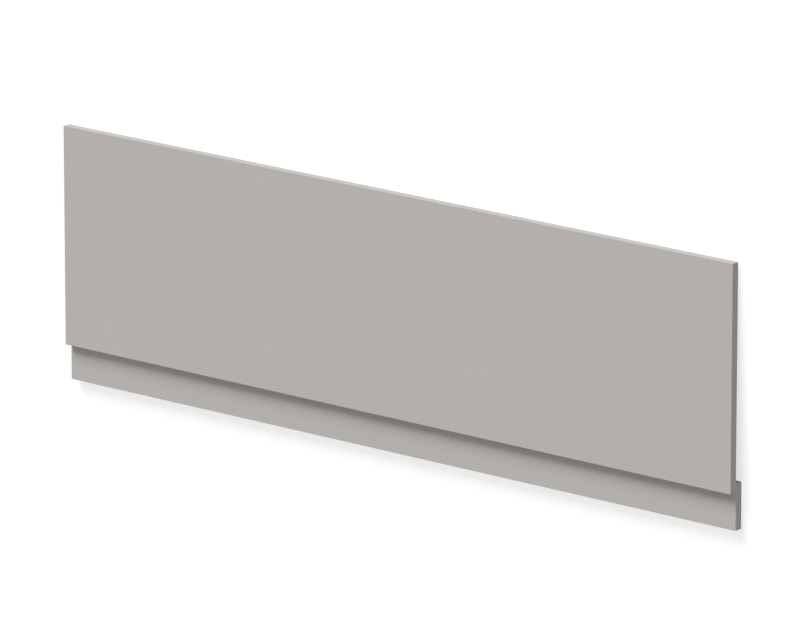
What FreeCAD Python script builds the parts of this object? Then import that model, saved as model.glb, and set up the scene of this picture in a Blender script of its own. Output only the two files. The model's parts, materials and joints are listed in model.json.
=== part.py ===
import FreeCAD, Part
import Sketcher
import os

# Two-piece bath front panel, lying face up as it is stored on a floor.
# The front panel hides the side of the bath. The plinth is a second board of the same length,
# set back behind the panel, that closes the toe space below it and laps up behind its lower edge.
# Five countersunk screws hold the lap together from behind.
#
# Board frame: X runs along the boards, Y up the panel from the plinth's foot,
# Z out of the front face, with zero where the two boards meet.
# Laid on its back the assembly rests on two edges, the top rear edge of the plinth and
# the top rear edge of the panel, so everything is turned about X by the small tilt between them.
# The finished part stands on Z = 0 with its origin under the middle of its outline.
# Lengths are in millimetres, angles in degrees.

sizes = [
    ("board_length", 1800, "length of both boards"),
    ("panel_height", 480, "front panel, from its lower edge to its top edge"),
    ("panel_thickness", 18, "front panel"),
    ("plinth_height", 100, "plinth, from its foot to its upper edge"),
    ("plinth_thickness", 18, "plinth"),
    ("lap", 20, "how far the plinth stands up behind the panel"),
    ("arris", 0.8, "radius on the edges round the front and back of both boards"),
    ("corner_ease", 1, "how much rounder the four corners of a board are than its edges"),
    ("screw_count", 5, "screws along the lap"),
    ("screw_inset", 100, "from the end of the boards to the first screw"),
    ("shank_diameter", 4, "screw shank, and its hole in the panel"),
    ("shank_clearance", 0.25, "gap round the shank in the plinth"),
    ("point_length", 4, "cone at the tip of the screw"),
    ("point_flat", 0.6, "blunt end of that cone, across"),
    ("tip_cover", 5.8, "board left in front of the screw's tip"),
    ("head_diameter", 8, "screw head"),
    ("head_rim", 0.2, "straight rim of the screw head"),
    ("head_angle", 90, "cone of the screw head and of its countersink"),
    ("head_sink", 0.2, "how far the head lies below the back of the plinth"),
    ("recess_span", 4.4, "cross recess, end to end"),
    ("recess_width", 1.1, "cross recess, across one arm"),
    ("recess_depth", 1.6, "cross recess"),
]

# Sizes worked out from the sheet, as expressions

overall_height = "(Sizes.panel_height + Sizes.plinth_height - Sizes.lap)"
corner_radius = "(Sizes.arris + Sizes.corner_ease)"
panel_foot = "(Sizes.plinth_height - Sizes.lap)"
lap_middle = "(Sizes.plinth_height - Sizes.lap / 2)"
head_level = "(Sizes.head_sink - Sizes.plinth_thickness)"
screw_depth = "(Sizes.panel_thickness - Sizes.tip_cover)"
screw_length = f"({screw_depth} - {head_level})"
screw_run = "(Sizes.board_length - 2 * Sizes.screw_inset)"
first_screw = "(Sizes.screw_inset - Sizes.board_length / 2)"
shank_radius = "(Sizes.shank_diameter / 2)"
point_radius = "(Sizes.point_flat / 2)"
head_radius = "(Sizes.head_diameter / 2)"
bore_radius = f"({shank_radius} + Sizes.shank_clearance)"
cone_slope = "tan(Sizes.head_angle / 2)"
cone_end = f"(Sizes.head_rim + ({head_radius} - {shank_radius}) / {cone_slope})"
mouth_radius = f"({head_radius} + (Sizes.head_rim + Sizes.head_sink) * {cone_slope})"
countersink_depth = f"(({mouth_radius} - {bore_radius}) / {cone_slope})"

# The tilt of the assembly on the floor, and where its board frame then sits

tilt = "atan(Sizes.plinth_thickness / (Sizes.panel_height - Sizes.lap))"
arris_drop = f"Sizes.arris * (cos({tilt}) + sin({tilt}) - 1)"
rest_y = (
    f"(-({overall_height} * cos({tilt})"
    f" + (Sizes.panel_thickness - Sizes.plinth_thickness) * sin({tilt})) / 2)"
)
rest_z = f"({overall_height} * sin({tilt}) - {arris_drop})"


def make_sheet(doc):
    """Put the driving dimensions in a sheet, one row each: name, value, meaning."""
    sheet = doc.addObject("Spreadsheet::Sheet", "Sizes")
    for row, (alias, value, meaning) in enumerate(sizes, start=1):
        sheet.set(f"A{row}", alias)
        sheet.set(f"B{row}", str(value))
        sheet.set(f"C{row}", meaning)
        sheet.setAlias(f"B{row}", alias)
    doc.recompute()
    return sheet


def new_body(doc, name):
    """Start a named body for one piece."""
    body = doc.addObject("PartDesign::Body", name)
    body.Label = name
    return body


def origin_feature(body, role):
    """Find a plane or axis of the body's own origin."""
    return next(item for item in body.Origin.OriginFeatures if item.Role == role)


def new_sketch(body, plane, name):
    """Start a sketch on one of the body's origin planes."""
    sketch = body.newObject("Sketcher::SketchObject", name)
    sketch.AttachmentSupport = (origin_feature(body, plane), [""])
    sketch.MapMode = "FlatFace"
    return sketch


def draw_outline(sketch, corners):
    """Draw a closed outline, line i running from corner i to the next one.

    The corners only start the shape off: the constraints added after it set its true size.
    """
    points = [FreeCAD.Vector(across, up, 0) for across, up in corners]
    for start, end in zip(points, points[1:] + points[:1]):
        sketch.addGeometry(Part.LineSegment(start, end))
    for line in range(len(points)):
        sketch.addConstraint(Sketcher.Constraint("Coincident", line, 2, (line + 1) % len(points), 1))


def hold(sketch, kind, *geometry):
    """Add a constraint that has no size."""
    sketch.addConstraint(Sketcher.Constraint(kind, *geometry))


def measure(sketch, name, expression, kind, *geometry):
    """Add a named dimension and bind it to the sheet."""
    index = sketch.addConstraint(Sketcher.Constraint(kind, *geometry, 1.0))
    sketch.renameConstraint(index, name)
    sketch.setExpression(f"Constraints.{name}", expression)


def place(body, across, up, out):
    """Place a body's origin at a point of the board frame, turned by the resting tilt."""
    body.setExpression("Placement.Rotation.Axis.x", "1")
    body.setExpression("Placement.Rotation.Axis.z", "0")
    body.setExpression("Placement.Rotation.Angle", f"-{tilt}")
    body.setExpression("Placement.Base.x", across)
    body.setExpression("Placement.Base.y", f"{rest_y} + {up} * cos({tilt}) + {out} * sin({tilt})")
    body.setExpression("Placement.Base.z", f"{rest_z} - {up} * sin({tilt}) + {out} * cos({tilt})")


def check_cut(base, cut):
    """Stop if a cut took nothing away."""
    if not cut.Shape.Volume < base.Shape.Volume:
        raise RuntimeError(f"{cut.Label} cuts nothing")


def edges_through(shape):
    """Name the edges that run through a board's thickness, at its four corners."""
    return [f"Edge{i}" for i, edge in enumerate(shape.Edges, 1) if abs(edge.tangentAt(0).z) > 0.5]


def broad_faces(shape):
    """Name a board's front and back faces."""
    return [f"Face{i}" for i, face in enumerate(shape.Faces, 1) if abs(face.normalAt(0, 0).z) > 0.5]


def make_board(doc, name, height, thickness, foot, outwards):
    """Make a plain board with rounded edges, from the joint plane outwards or back from it."""
    body = new_body(doc, name)
    outline = new_sketch(body, "XY_Plane", f"{name}_outline")
    draw_outline(outline, [(-2, 1), (2, 1), (2, 2), (-2, 2)])
    hold(outline, "Symmetric", 0, 1, 0, 2, -2)
    hold(outline, "Vertical", 1)
    hold(outline, "Horizontal", 2)
    hold(outline, "Vertical", 3)
    measure(outline, "length", "Sizes.board_length", "DistanceX", 0, 1, 0, 2)
    measure(outline, "height", height, "DistanceY", 1, 1, 1, 2)
    if foot is None:
        hold(outline, "PointOnObject", 0, 1, -1)
    else:
        measure(outline, "foot", foot, "DistanceY", -1, 1, 0, 1)
    board = body.newObject("PartDesign::Pad", f"{name}_board")
    board.Profile = outline
    board.Reversed = not outwards
    board.setExpression("Length", thickness)
    doc.recompute()
    corners = body.newObject("PartDesign::Fillet", f"{name}_corners")
    corners.Base = (board, edges_through(board.Shape))
    corners.setExpression("Radius", corner_radius)
    doc.recompute()
    arrises = body.newObject("PartDesign::Fillet", f"{name}_arrises")
    arrises.Base = (corners, broad_faces(corners.Shape))
    arrises.setExpression("Radius", "Sizes.arris")
    doc.recompute()
    return body


def cut_row(doc, body, profile, axis_line):
    """Turn a hole's half profile about its axis line and repeat the hole along the lap."""
    profile.setExpression("AttachmentOffset.Base.z", first_screw)
    uncut = body.Tip
    hole = body.newObject("PartDesign::Groove", f"{body.Label}_hole")
    hole.Profile = profile
    hole.ReferenceAxis = (profile, [f"Edge{axis_line + 1}"])
    hole.Angle = 360
    doc.recompute()
    check_cut(uncut, hole)
    row = body.newObject("PartDesign::LinearPattern", f"{body.Label}_holes")
    row.Originals = [hole]
    row.Direction = (origin_feature(body, "X_Axis"), [""])
    row.setExpression("Length", screw_run)
    row.setExpression("Occurrences", "Sizes.screw_count")
    body.Tip = row
    doc.recompute()
    check_cut(hole, row)


def make_front_panel(doc):
    """The front panel, with blind holes in its back that the screws bite into."""
    body = make_board(doc, "front_panel", "Sizes.panel_height", "Sizes.panel_thickness", panel_foot, True)
    profile = new_sketch(body, "YZ_Plane", "pilot_profile")
    draw_outline(profile, [(3, 0), (5, 0), (5, 1), (4, 2), (3, 2)])
    hold(profile, "PointOnObject", 0, 1, -1)
    hold(profile, "Horizontal", 0)
    hold(profile, "Vertical", 1)
    hold(profile, "Horizontal", 3)
    hold(profile, "Vertical", 4)
    measure(profile, "axis", lap_middle, "DistanceX", -1, 1, 0, 1)
    measure(profile, "radius", shank_radius, "DistanceX", 0, 1, 0, 2)
    measure(profile, "straight", f"{screw_depth} - Sizes.point_length", "DistanceY", 1, 1, 1, 2)
    measure(profile, "bottom", point_radius, "DistanceX", 3, 2, 3, 1)
    measure(profile, "depth", screw_depth, "DistanceY", 4, 2, 4, 1)
    cut_row(doc, body, profile, 4)
    place(body, "0", "0", "0")
    return body


def make_plinth(doc):
    """The plinth, with countersunk clearance holes from its back."""
    body = make_board(doc, "plinth", "Sizes.plinth_height", "Sizes.plinth_thickness", None, False)
    profile = new_sketch(body, "YZ_Plane", "countersink_profile")
    draw_outline(profile, [(3, -4), (5, -4), (4, -3), (4, 0), (3, 0)])
    hold(profile, "Horizontal", 0)
    hold(profile, "Vertical", 2)
    hold(profile, "Horizontal", 3)
    hold(profile, "Vertical", 4)
    hold(profile, "PointOnObject", 3, 2, -1)
    measure(profile, "axis", lap_middle, "DistanceX", -1, 1, 3, 2)
    measure(profile, "mouth", mouth_radius, "DistanceX", 0, 1, 0, 2)
    measure(profile, "bore", bore_radius, "DistanceX", 3, 2, 3, 1)
    measure(profile, "sink", countersink_depth, "DistanceY", 1, 1, 1, 2)
    measure(profile, "depth", "Sizes.plinth_thickness", "DistanceY", 4, 2, 4, 1)
    cut_row(doc, body, profile, 4)
    place(body, "0", "0", "0")
    return body


def make_screw(doc, number):
    """One countersunk screw, its head towards the back and its point in the front panel."""
    name = f"plinth_screw_{number}"
    body = new_body(doc, name)
    profile = new_sketch(body, "XZ_Plane", f"{name}_profile")
    draw_outline(profile, [(0, 0), (4, 0), (4, 1), (2, 3), (2, 8), (1, 10), (0, 10)])
    hold(profile, "Coincident", 0, 1, -1, 1)
    hold(profile, "Horizontal", 0)
    hold(profile, "Vertical", 1)
    hold(profile, "Vertical", 3)
    hold(profile, "Horizontal", 5)
    hold(profile, "Vertical", 6)
    measure(profile, "head", head_radius, "DistanceX", 0, 1, 0, 2)
    measure(profile, "rim", "Sizes.head_rim", "DistanceY", 1, 1, 1, 2)
    measure(profile, "cone", cone_end, "DistanceY", 0, 1, 2, 2)
    measure(profile, "shank", shank_radius, "DistanceX", 0, 1, 2, 2)
    measure(profile, "straight", f"{screw_length} - Sizes.point_length", "DistanceY", 0, 1, 3, 2)
    measure(profile, "tip", point_radius, "DistanceX", 5, 2, 5, 1)
    measure(profile, "length", screw_length, "DistanceY", 0, 1, 5, 2)
    turned = body.newObject("PartDesign::Revolution", f"{name}_turned")
    turned.Profile = profile
    turned.ReferenceAxis = (profile, ["V_Axis"])
    turned.Angle = 360
    doc.recompute()

    slot = new_sketch(body, "XY_Plane", f"{name}_slot")
    draw_outline(slot, [(-2, -1), (2, -1), (2, 1), (-2, 1)])
    hold(slot, "Symmetric", 0, 1, 1, 2, -1, 1)
    hold(slot, "Horizontal", 0)
    hold(slot, "Vertical", 1)
    hold(slot, "Horizontal", 2)
    hold(slot, "Vertical", 3)
    measure(slot, "span", "Sizes.recess_span", "DistanceX", 0, 1, 0, 2)
    measure(slot, "width", "Sizes.recess_width", "DistanceY", 1, 1, 1, 2)
    arm = body.newObject("PartDesign::Pocket", f"{name}_arm")
    arm.Profile = slot
    arm.Reversed = True
    arm.setExpression("Length", "Sizes.recess_depth")
    doc.recompute()
    check_cut(turned, arm)
    cross = body.newObject("PartDesign::PolarPattern", f"{name}_cross")
    cross.Originals = [arm]
    cross.Axis = (origin_feature(body, "Z_Axis"), [""])
    cross.Angle = 90
    cross.Occurrences = 2
    body.Tip = cross
    doc.recompute()
    check_cut(arm, cross)

    spacing = f"{screw_run} / (Sizes.screw_count - 1)"
    place(body, f"{first_screw} + {number - 1} * {spacing}", lap_middle, head_level)
    return body


def check_model(doc, pieces):
    """Stop before anything is written if a feature failed or a piece isn't one sound solid."""
    for item in doc.Objects:
        if "Invalid" in item.State or "Error" in item.State:
            raise RuntimeError(f"{item.Label} failed: {item.State}")
    for piece in pieces:
        shape = piece.Shape
        if shape.isNull() or not shape.isValid() or len(shape.Solids) != 1:
            raise RuntimeError(f"{piece.Label} isn't one valid solid")


def main():
    doc = FreeCAD.newDocument("bath_panel")
    sheet = make_sheet(doc)
    pieces = [make_front_panel(doc), make_plinth(doc)]
    for number in range(1, int(sheet.screw_count) + 1):
        pieces.append(make_screw(doc, number))
    doc.recompute()
    check_model(doc, pieces)
    os.makedirs("parts", exist_ok=True)
    for piece in pieces:
        piece.Shape.exportStep(f"parts/{piece.Label}.step")
        box = piece.Shape.optimalBoundingBox(False, False)
        print(f"{piece.Label}: {box.XLength:.2f} x {box.YLength:.2f} x {box.ZLength:.2f} mm,"
              f" lowest {box.ZMin:.3f}, volume {piece.Shape.Volume:.0f} mm3")


main()
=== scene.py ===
import json
import math
import bpy
import numpy as np
from mathutils import Matrix, Vector


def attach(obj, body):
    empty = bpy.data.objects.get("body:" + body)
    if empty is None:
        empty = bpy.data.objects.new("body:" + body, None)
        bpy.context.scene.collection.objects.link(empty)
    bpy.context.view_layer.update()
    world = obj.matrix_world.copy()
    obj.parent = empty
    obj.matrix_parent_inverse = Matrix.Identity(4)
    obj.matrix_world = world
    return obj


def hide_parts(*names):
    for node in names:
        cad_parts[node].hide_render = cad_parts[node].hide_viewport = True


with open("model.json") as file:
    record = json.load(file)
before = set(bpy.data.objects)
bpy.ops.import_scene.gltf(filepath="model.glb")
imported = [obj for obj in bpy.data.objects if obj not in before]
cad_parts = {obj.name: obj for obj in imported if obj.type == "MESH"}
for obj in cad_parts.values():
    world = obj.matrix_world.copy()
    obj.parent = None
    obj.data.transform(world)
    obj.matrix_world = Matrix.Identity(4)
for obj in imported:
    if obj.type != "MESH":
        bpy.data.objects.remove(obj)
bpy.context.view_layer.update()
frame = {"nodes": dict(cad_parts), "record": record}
print("frame loaded:", ", ".join(sorted(frame["nodes"])))

# the boards' own axes, read from the mounts: along their length, up the panel and out of its face
mounts = {mount["name"]: mount for mount in frame["record"]["mounts"]}
upAxis = Vector(mounts["top_edge"]["axis"])
outAxis = -Vector(mounts["plinth_back"]["axis"])
alongAxis = upAxis.cross(outAxis)
boardAxes = Matrix((alongAxis, upAxis, outAxis))

# the joint lies as far in front of the middle of the plinth's foot as the plinth's back lies behind it
plinthFoot = Vector(mounts["plinth_foot"]["pos_m"])
plinthBack = Vector(mounts["plinth_back"]["pos_m"])
jointFoot = plinthFoot + outAxis * (plinthFoot - plinthBack).dot(outAxis)


def boardVector(along, up, out):  # the three axes, each times its step, added up
    return boardAxes.transposed() @ Vector((along, up, out))


def boardPoint(along, up, out):  # those steps, taken from the foot of the joint
    return jointFoot + boardVector(along, up, out)


def boardSteps(name):  # a node's points as steps along, up and out: dot products with the three axes
    mesh = frame["nodes"][name].data
    points = np.empty(len(mesh.vertices) * 3)
    mesh.vertices.foreach_get("co", points)
    return (points.reshape(-1, 3) - np.array(jointFoot)) @ np.array(boardAxes).T


def addObject(name, data):  # a new object at the origin, linked to the scene
    newObject = bpy.data.objects.new(name, data)
    bpy.context.scene.collection.objects.link(newObject)
    return newObject


# materials

noiseSpan = (0.3, 0.7)           # the levels between which most of the noise lies


def newMaterial(name):  # an empty node material with its one principled shader
    material = bpy.data.materials.new(name)
    material.use_nodes = True
    return material, material.node_tree, material.node_tree.nodes["Principled BSDF"]


def setSockets(tree, node, values):  # each input is linked where its value is a socket, or else set to it
    for name, value in values.items():
        if isinstance(value, bpy.types.NodeSocket):
            tree.links.new(value, node.inputs[name])
        else:
            node.inputs[name].default_value = value


def addNode(tree, kind, values, **settings):  # a node with its own settings and then its inputs
    node = tree.nodes.new(kind)
    for name, value in settings.items():
        setattr(node, name, value)
    setSockets(tree, node, values)
    return node


def addMath(tree, operation, first, second):  # one operation on two levels
    return addNode(tree, "ShaderNodeMath", {0: first, 1: second}, operation=operation).outputs["Value"]


def addVectorMath(tree, operation, values):  # one operation on all three parts of a vector
    return addNode(tree, "ShaderNodeVectorMath", values, operation=operation).outputs["Vector"]


def addNoise(tree, place, size, detail):  # cloudy noise whose patches are about size metres across
    values = {"Vector": place, "Scale": 1 / size, "Detail": detail}
    return addNode(tree, "ShaderNodeTexNoise", values).outputs["Fac"]


def addRange(tree, level, span, result):  # a straight run from one pair of levels to another
    values = dict(zip(("From Min", "From Max", "To Min", "To Max"), (*span, *result)))
    return addNode(tree, "ShaderNodeMapRange", {"Value": level, **values}).outputs["Result"]


def addRamp(tree, level, colours):  # a straight blend from one colour to the other over the noise's levels
    ramp = addNode(tree, "ShaderNodeValToRGB", {"Fac": level})
    for stop, position, colour in zip(ramp.color_ramp.elements, noiseSpan, colours):
        stop.position = position
        stop.color = (*colour, 1)
    return ramp.outputs["Color"]


def addBump(tree, height, depth, **below):  # dents of the given depth, laid over another bump if one is below
    return addNode(tree, "ShaderNodeBump", {"Height": height, "Distance": depth, **below}).outputs["Normal"]


# boards

boardFinish = {                  # sizes and depths in metres
    "colour": (0.445, 0.423, 0.402),
    "toneShift": 0.008,          # share of the colour by which broad patches differ
    "patchSize": 0.16,
    "patchDetail": 4.0,
    "roughness": (0.51, 0.59),
    "specular": 0.35,
    "rippleSize": 0.0030,        # slow ripple of the board under the foil
    "rippleDepth": 0.00008,
    "rippleDetail": 1.0,
    "grainSize": 0.00045,        # fine emboss of the foil
    "grainDepth": 0.00005,
    "grainDetail": 2.0,
    "arrisWidth": 0.0016,        # round the edges the foil is stretched tight, so it is glossier, and its colour is lighter there, partly the stretched foil and partly a painted highlight
    "arrisHighlight": 1.03,           # times the colour near the edges: partly stretched foil, partly a painted highlight
    "arrisGloss": 0.86,          # times the roughness
}


def arrisShare(tree, place, low, high, width):
    # 1 on an edge of the board and 0 a width away from it: the depth below each pair of faces is half the
    # size less the distance from the middle, and the middle one of the three depths is the way to an edge
    values = {
        "Vector": place,
        "Location": boardPoint(*((low + high) / 2)),
        "Rotation": boardAxes.transposed().to_euler(),
    }
    fromMiddle = addNode(tree, "ShaderNodeMapping", values, vector_type="TEXTURE").outputs["Vector"]
    distance = addVectorMath(tree, "ABSOLUTE", {0: fromMiddle})
    depth = addVectorMath(tree, "SUBTRACT", {0: (high - low) / 2, 1: distance})
    along, up, out = addNode(tree, "ShaderNodeSeparateXYZ", {"Vector": depth}).outputs
    lesser = addMath(tree, "MINIMUM", along, up)
    greater = addMath(tree, "MAXIMUM", along, up)
    middle = addMath(tree, "MAXIMUM", lesser, addMath(tree, "MINIMUM", greater, out))
    return addRange(tree, middle, (0.0, width), (1.0, 0.0))


def makeBoardFinish(name, finish, steps):
    # colour runs between two levels with the broad noise and roughness with the ripple, and both are
    # multiplied near the edges, where the lighter colour is partly a painted highlight; the grain is a bump
    # laid over the ripple's
    material, tree, shader = newMaterial(name)
    place = addNode(tree, "ShaderNodeTexCoord", {}).outputs["Object"]
    patches = addNoise(tree, place, finish["patchSize"], finish["patchDetail"])
    ripple = addNoise(tree, place, finish["rippleSize"], finish["rippleDetail"])
    grain = addNoise(tree, place, finish["grainSize"], finish["grainDetail"])
    arris = arrisShare(tree, place, steps.min(0), steps.max(0), finish["arrisWidth"])
    # the colour made lighter near the edges: partly stretched foil, partly a painted highlight
    lift = addRange(tree, arris, (0.0, 1.0), (1.0, finish["arrisHighlight"]))
    polish = addRange(tree, arris, (0.0, 1.0), (1.0, finish["arrisGloss"]))
    shades = np.outer((1 - finish["toneShift"], 1 + finish["toneShift"]), finish["colour"])
    satin = addRange(tree, ripple, noiseSpan, finish["roughness"])
    rippled = addBump(tree, ripple, finish["rippleDepth"])
    setSockets(tree, shader, {
        "Base Color": addVectorMath(tree, "SCALE", {"Vector": addRamp(tree, patches, shades), "Scale": lift}),
        "Roughness": addMath(tree, "MULTIPLY", satin, polish),
        "Specular IOR Level": finish["specular"],
        "Normal": addBump(tree, grain, finish["grainDepth"], Normal=rippled),
    })
    return material


for boardName, finishName in (("front_panel", "panelFoil"), ("plinth", "plinthFoil")):
    boardMaterial = makeBoardFinish(finishName, boardFinish, boardSteps(boardName))
    frame["nodes"][boardName].material_slots[0].material = boardMaterial
print("boards finished")

# plinth screws

quarterTurn = math.pi / 2
plinthScrew = {
    # in radii of the head
    "recessSpan": 1.1,           # the cross recess at its mouth
    "recessWidth": 0.275,
    "recessDepth": 0.4,
    "rim": 0.05,
    "edgeRound": 0.02,
    # in radii of the shank
    "core": 0.64,
    "pitch": 0.9,
    "point": 2.0,
    # shares
    "recessTaper": 0.62,         # of the recess's mouth, for the size of its floor
    "recessShelf": 0.75,         # of the recess's depth, at the edge of its floor
    "plain": 0.2,                # of the length, from the top of the head to the first thread
    # powers, counts and degrees
    "crestSharpness": 1.4,
    "growTurns": 2.0,            # turns over which the thread reaches its full height
    "rowsPerTurn": 16,
    "coneRows": 5,
    "columnsPerRun": 5,          # between two corners of the recess
    "sharpAngle": 50.0,
    "drivenStep": 59.0,          # each screw was left this much farther round than the one before
}
zincFinish = {                   # sizes and depths in metres
    "colours": ((0.60, 0.60, 0.58), (0.65, 0.62, 0.55)),  # plain plating and its faint yellow clouds
    "cloudSize": 0.003,
    "cloudDetail": 5.0,
    "roughness": (0.24, 0.42),
    "pitSize": 0.00016,
    "pitDepth": 0.000004,
    "pitDetail": 3.0,
}


def makeZincFinish(finish):  # colour and roughness both run between two levels with the clouds
    material, tree, shader = newMaterial("zincPlate")
    place = addNode(tree, "ShaderNodeTexCoord", {}).outputs["Object"]
    clouds = addNoise(tree, place, finish["cloudSize"], finish["cloudDetail"])
    pits = addNoise(tree, place, finish["pitSize"], finish["pitDetail"])
    setSockets(tree, shader, {
        "Base Color": addRamp(tree, clouds, finish["colours"]),
        "Roughness": addRange(tree, clouds, noiseSpan, finish["roughness"]),
        "Metallic": 1.0,
        "Normal": addBump(tree, pits, finish["pitDepth"]),
    })
    return material


def screwAngles(screw):
    # columns round the screw: even steps between the corners of the recess, in one quarter taken four times
    corner = math.atan2(screw["recessWidth"], screw["recessSpan"])
    stops = (-quarterTurn / 2, -corner, corner, quarterTurn / 2)
    quarter = np.linspace(stops[:-1], stops[1:], screw["columnsPerRun"], endpoint=False, axis=1).ravel()
    return (quarter + np.arange(4)[:, None] * quarterTurn).ravel()


def recessReach(screw, angles):
    # from the middle to the recess's edge, the nearer of two: the arm's end, at half the span over the
    # cosine of the angle from the arm, and its side, at half the width over the sine
    fromArm = np.abs((angles + quarterTurn / 2) % quarterTurn - quarterTurn / 2)
    return 0.5 / np.maximum(np.cos(fromArm) / screw["recessSpan"], np.sin(fromArm) / screw["recessWidth"])


def headRows(screw, core, angles):
    # radius and depth, in head radii, of each row from the recess's floor over the flat top and round the
    # rim, then down the cone, which goes as deep as its radius shrinks
    reach = recessReach(screw, angles)
    crown = 1 - screw["edgeRound"]
    shelf = screw["recessDepth"] * screw["recessShelf"]
    top = [(reach * screw["recessTaper"], shelf), (reach, 0), ((reach + crown) / 2, 0), (crown, 0)]
    cone = [(radius, 1 + screw["rim"] - radius) for radius in np.linspace(1, core, screw["coneRows"])]
    rows = [*top, (1, screw["edgeRound"]), *cone]
    return np.array([np.broadcast_arrays(radius, depth, angles)[:2] for radius, depth in rows])


def threadRows(screw, length, angles):
    # radius and depth, in shank radii: the core plus a ridge, which is a cosine, cut off below nought and
    # raised to a power, of depth over pitch less angle over a full turn; the ridge grows in over its first
    # turns, and both shrink straight to nothing at the point
    start = length * screw["plain"]
    count = math.ceil((length - start) / screw["pitch"] * screw["rowsPerTurn"])
    levels = np.linspace(start, length, count, endpoint=False)
    depths, turns = np.meshgrid(levels, angles, indexing="ij")
    wave = np.cos(2 * math.pi * depths / screw["pitch"] - turns)
    growth = np.clip((depths - start) / screw["pitch"] / screw["growTurns"], 0, 1)
    ridge = (1 - screw["core"]) * growth * np.clip(wave, 0, None) ** screw["crestSharpness"]
    taper = np.clip((length - depths) / screw["point"], 0, 1)
    return np.stack((taper * (screw["core"] + ridge), depths), axis=1)


def screwSizes(name):
    # read from the node: its middle is the axis, its reach out is the length, and the farthest points from
    # the axis are the head's, or past half the length the shank's
    steps = boardSteps(name)
    low, high = steps.min(0), steps.max(0)
    middle = (low + high) / 2
    fromAxis = np.hypot(*(steps - middle)[:, :2].T)
    return {
        "top": (middle[0], middle[1], low[2]),
        "length": high[2] - low[2],
        "headRadius": fromAxis.max(),
        "shankRadius": fromAxis[steps[:, 2] > middle[2]].max(),
    }


def screwSkin(screw, sizes, turn):
    # the head's rows and then the thread's, each point out from the axis by its radius times the cosine and
    # sine of its angle; last come the two poles, at the bottom of the recess and at the tip
    head, shank, length = sizes["headRadius"], sizes["shankRadius"], sizes["length"]
    angles = screwAngles(screw)
    headPart = headRows(screw, screw["core"] * shank / head, angles) * head
    threadPart = threadRows(screw, length / shank, angles) * shank
    radii, depths = np.concatenate((headPart, threadPart)).swapaxes(0, 1)
    turned = angles + turn
    rows = np.stack((radii * np.cos(turned), radii * np.sin(turned), depths), axis=-1)
    poles = ((0, 0, screw["recessDepth"] * head), (0, 0, length))
    steps = np.concatenate((rows.reshape(-1, 3), poles)) + sizes["top"]
    return np.array(jointFoot) + steps @ np.array(boardAxes), radii.shape


def closedSkin(rows, columns):
    # a fan, then quads between neighbouring rows and columns, the last column joined to the first, and a fan
    grid = np.arange(rows * columns).reshape(rows, columns)
    beside = np.roll(grid, -1, axis=1)
    startPole = np.full(columns, rows * columns)
    endPole = startPole + 1
    startFan = np.stack((startPole, beside[0], grid[0]), axis=-1)
    quads = np.stack((grid[:-1], beside[:-1], beside[1:], grid[1:]), axis=-1).reshape(-1, 4)
    endFan = np.stack((grid[-1], beside[-1], endPole), axis=-1)
    return startFan.tolist() + quads.tolist() + endFan.tolist()


def makeScrew(number, name, screw, material):
    # the skin, turned by the screw's number times the driven step, in place of the node; its first two rings
    # of faces, which are the floor and the sides of the recess, stay flat
    points, (rows, columns) = screwSkin(screw, screwSizes(name), math.radians(number * screw["drivenStep"]))
    mesh = bpy.data.meshes.new(f"screw_{number}")
    mesh.from_pydata(points.tolist(), [], closedSkin(rows, columns))
    mesh.polygons.foreach_set("use_smooth", np.arange(len(mesh.polygons)) >= 2 * columns)
    mesh.set_sharp_from_angle(angle=math.radians(screw["sharpAngle"]))
    mesh.materials.append(material)
    piece = addObject(mesh.name, mesh)
    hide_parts(name)
    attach(piece, "root")
    return len(mesh.polygons)


zinc = makeZincFinish(zincFinish)
screwNodes = sorted(name for name in frame["nodes"] if name.startswith("plinth_screw"))
faces = [makeScrew(number, name, plinthScrew, zinc) for number, name in enumerate(screwNodes, 1)]
print("screws made:", len(faces), "of", faces[0], "faces")

# floor

plainWhite = (1, 1, 1, 1)
floorStage = {
    "size": 120.0,
    "colour": (0.38, 0.38, 0.38),
    "roughness": 0.9,
    "lift": 0.68,                # added for the camera and for reflections, so that lit floor is white
}


def seenAsWhite(tree, plain, white):  # one level for light, and another for what the camera or a mirror sees
    rays = addNode(tree, "ShaderNodeLightPath", {}).outputs
    mirrored = addMath(tree, "MAXIMUM", rays["Is Glossy Ray"], rays["Is Transmission Ray"])
    seen = addMath(tree, "MAXIMUM", rays["Is Camera Ray"], mirrored)
    return addRange(tree, seen, (0.0, 1.0), (plain, white))


def makeFloor(stage):  # four corners, half the size out each way, at the height where the part rests
    corners = np.array(((-1, -1, 0), (1, -1, 0), (1, 1, 0), (-1, 1, 0))) * stage["size"] / 2
    mesh = bpy.data.meshes.new("floor")
    mesh.from_pydata(corners.tolist(), [], [(0, 1, 2, 3)])
    material, tree, shader = newMaterial("paleFloor")
    setSockets(tree, shader, {
        "Base Color": (*stage["colour"], 1),
        "Roughness": stage["roughness"],
        "Specular IOR Level": 0.0,
        "Emission Color": plainWhite,
        "Emission Strength": seenAsWhite(tree, 0.0, stage["lift"]),
    })
    mesh.materials.append(material)
    floor = addObject("floor", mesh)


makeFloor(floorStage)
print("floor laid")

# light

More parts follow.
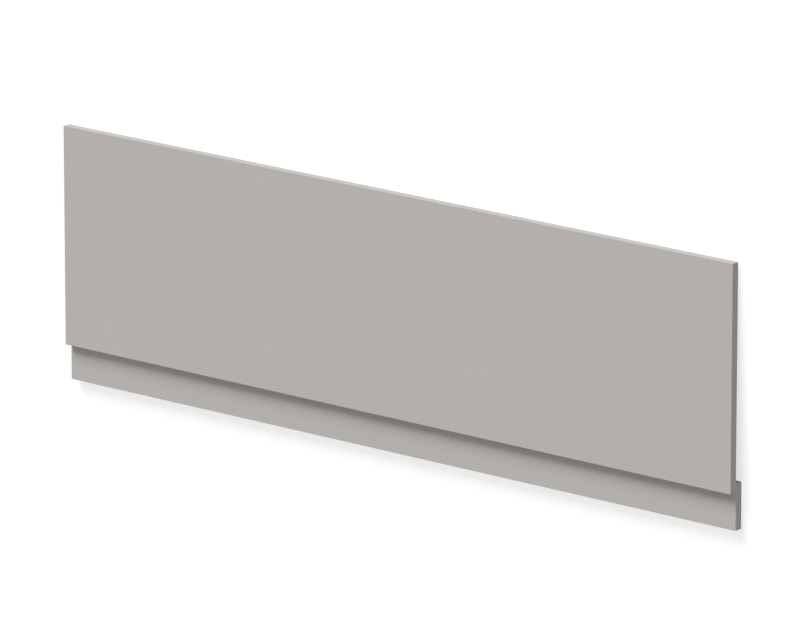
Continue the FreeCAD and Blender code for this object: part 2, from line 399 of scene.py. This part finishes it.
keyLight = {
    "from": (-0.4, 1.6, 1.0),    # along, up and out from the boards
    "spread": 31.0,              # degrees across
    "strength": 3.2,
}
fillLight = {
    "from": (1.0, 0.0, 0.2),
    "spread": 40.0,
    "strength": 0.28,
}
skyLevel = 0.42


def makeLamp(name, light):  # a broad sun that shines from the given direction
    lamp = bpy.data.lights.new(name, "SUN")
    lamp.energy = light["strength"]
    lamp.angle = math.radians(light["spread"])
    sun = addObject(name, lamp)
    sun.rotation_mode = "QUATERNION"
    sun.rotation_quaternion = boardVector(*light["from"]).to_track_quat("Z", "Y")


def makeSky(level):  # even light all round, and plain white where the camera or a reflection sees it
    world = bpy.data.worlds.new("sky")
    bpy.context.scene.world = world
    world.use_nodes = True
    tree = world.node_tree
    strength = seenAsWhite(tree, level, 1.0)
    setSockets(tree, tree.nodes["Background"], {"Color": plainWhite, "Strength": strength})


makeLamp("key", keyLight)
makeLamp("fill", fillLight)
makeSky(skyLevel)
print("lights set")

# camera

cameraView = {
    "azimuth": 40.10,            # degrees round from the front face's normal, towards the right-hand end
    "elevation": 14.96,          # degrees above that normal, towards the top edge
    "distance": 18.752,
    "aim": (0.0322, 0.2942, 0.018),  # along, up and out from the foot of the joint
    "lens": 409.23,
    "sensor": 36.0,
    "clipEnd": 500.0,
}


def makeCamera(view):
    # it stands back from the aim along the viewing direction, with the panel's up direction upright in the
    # frame: right is up crossed with back, and the picture's own up is back crossed with right
    turn, rise = math.radians(view["azimuth"]), math.radians(view["elevation"])
    back = boardVector(math.sin(turn) * math.cos(rise), math.sin(rise), math.cos(turn) * math.cos(rise))
    right = upAxis.cross(back).normalized()
    data = bpy.data.cameras.new("camera")
    data.lens = view["lens"]
    data.sensor_width = view["sensor"]
    data.clip_end = view["clipEnd"]
    camera = addObject("camera", data)
    place = boardPoint(*view["aim"]) + back * view["distance"]
    turned = Matrix((right, back.cross(right), back)).transposed()
    camera.matrix_world = Matrix.Translation(place) @ turned.to_4x4()
    bpy.context.scene.camera = camera


makeCamera(cameraView)
bpy.context.scene.view_settings.view_transform = "Standard"
print("camera set")
